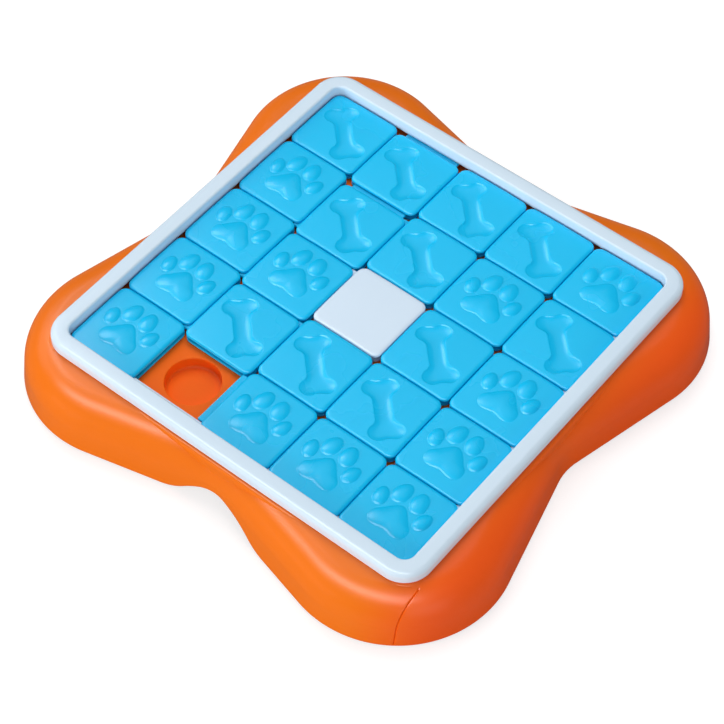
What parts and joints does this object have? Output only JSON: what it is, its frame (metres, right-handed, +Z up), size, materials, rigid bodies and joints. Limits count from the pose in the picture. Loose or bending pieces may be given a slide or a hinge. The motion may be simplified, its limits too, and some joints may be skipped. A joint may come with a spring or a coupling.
{
  "type": "dog puzzle feeder",
  "caption": "Square sliding-tile treat puzzle for dogs: lobed tray with round treat wells, a raised frame and interlocking tiles in paw and bone relief that slide into an empty cell",
  "frame": {"origin": "centre of the footprint on the floor, at the bottom of the rubber feet", "axes": "+Z up out of the tiles; tile columns run along X and tile rows along Y, both parallel to the frame's sides"},
  "size_m": [0.3168, 0.3168, 0.0404],
  "materials": {
    "tray_plastic": "satin moulded",
    "frame_plastic": "semi-gloss moulded",
    "tile_plastic": "satin moulded",
    "centre_plastic": "satin moulded",
    "foot_rubber": "matte",
    "screw_steel": "zinc plated"
  },
  "bodies": {
    "tray": {"base_tray": "tray_plastic", "frame": "frame_plastic", "frame_screws": "screw_steel", "foot_front_left": "foot_rubber", "foot_front_right": "foot_rubber", "foot_back_left": "foot_rubber", "foot_back_right": "foot_rubber", "paw_tile_a1": "tile_plastic", "paw_tile_a2": "tile_plastic", "paw_tile_a3": "tile_plastic", "paw_tile_a4": "tile_plastic", "bone_tile_a5": "tile_plastic", "paw_tile_c1": "tile_plastic", "bone_tile_c2": "tile_plastic", "centre_tile": "centre_plastic", "bone_tile_c4": "tile_plastic", "bone_tile_c5": "tile_plastic", "paw_tile_d1": "tile_plastic", "bone_tile_d2": "tile_plastic", "bone_tile_d3": "tile_plastic", "paw_tile_d4": "tile_plastic", "bone_tile_d5": "tile_plastic", "paw_tile_e1": "tile_plastic", "paw_tile_e2": "tile_plastic", "paw_tile_e3": "tile_plastic", "bone_tile_e4": "tile_plastic", "paw_tile_e5": "tile_plastic"},
    "tile_b5": {"bone_tile_b5": "tile_plastic"},
    "tile_b4": {"bone_tile_b4": "tile_plastic"},
    "tile_b3": {"paw_tile_b3": "tile_plastic"},
    "tile_b2": {"bone_tile_b2": "tile_plastic"}
  },
  "joints": [
    {"name": "tile_b5_slide", "type": "slide", "parent": "tray", "child": "tile_b5", "axis": [0, -1, 0], "range_m": [-0.0025, 0.0425]},
    {"name": "tile_b4_slide", "type": "slide", "parent": "tray", "child": "tile_b4", "axis": [0, -1, 0], "range_m": [-0.0025, 0.0425]},
    {"name": "tile_b3_slide", "type": "slide", "parent": "tray", "child": "tile_b3", "axis": [0, -1, 0], "range_m": [-0.0025, 0.0425]},
    {"name": "tile_b2_slide", "type": "slide", "parent": "tray", "child": "tile_b2", "axis": [0, -1, 0], "range_m": [-0.0025, 0.0425]}
  ],
  "couplings": [
    {"joint": "tile_b4_slide", "follows": "tile_b5_slide", "ratio": 1},
    {"joint": "tile_b3_slide", "follows": "tile_b5_slide", "ratio": 1},
    {"joint": "tile_b2_slide", "follows": "tile_b5_slide", "ratio": 1}
  ]
}
